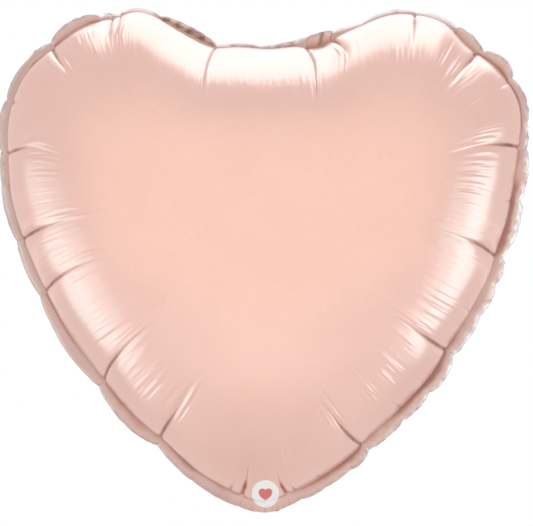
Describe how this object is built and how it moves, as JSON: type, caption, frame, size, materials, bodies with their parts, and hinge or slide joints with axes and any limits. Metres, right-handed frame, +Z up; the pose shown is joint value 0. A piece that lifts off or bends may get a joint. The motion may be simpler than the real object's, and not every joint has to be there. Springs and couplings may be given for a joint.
{
  "type": "heart-shaped foil balloon",
  "caption": "Inflated heart-shaped foil balloon with a welded border, a folding fill tail and a flat self-sealing valve.",
  "frame": {"origin": "middle of the bottom tip, at the neck crease where the balloon is tied", "axes": "+X to the balloon's left as it faces the viewer (right in a front view), front faces -Y, +Z up towards the dip between the lobes"},
  "size_m": [0.7506, 0.3274, 0.7087],
  "materials": {
    "foil": "satin rose gold metallised film",
    "valve_film": "translucent soft film",
    "release_ink": "thin heat-resistant ink",
    "mark_ink": "printed ink"
  },
  "bodies": {
    "envelope": {"front_panel": "foil", "back_panel": "foil", "sleeve_front_film": "valve_film", "sleeve_back_film": "valve_film", "printed_roundel": "mark_ink"},
    "tail": {"tail_outer_foil": "foil", "tail_inner_foil": "foil", "tail_valve_outer_film": "valve_film", "tail_valve_inner_film": "valve_film", "valve_release_coat": "release_ink"}
  },
  "joints": [
    {"name": "tail_fold", "type": "hinge", "parent": "envelope", "child": "tail", "pos_m": [0, 0, -0.002], "axis": [-1, 0, 0], "range_deg": [0, 119]}
  ]
}
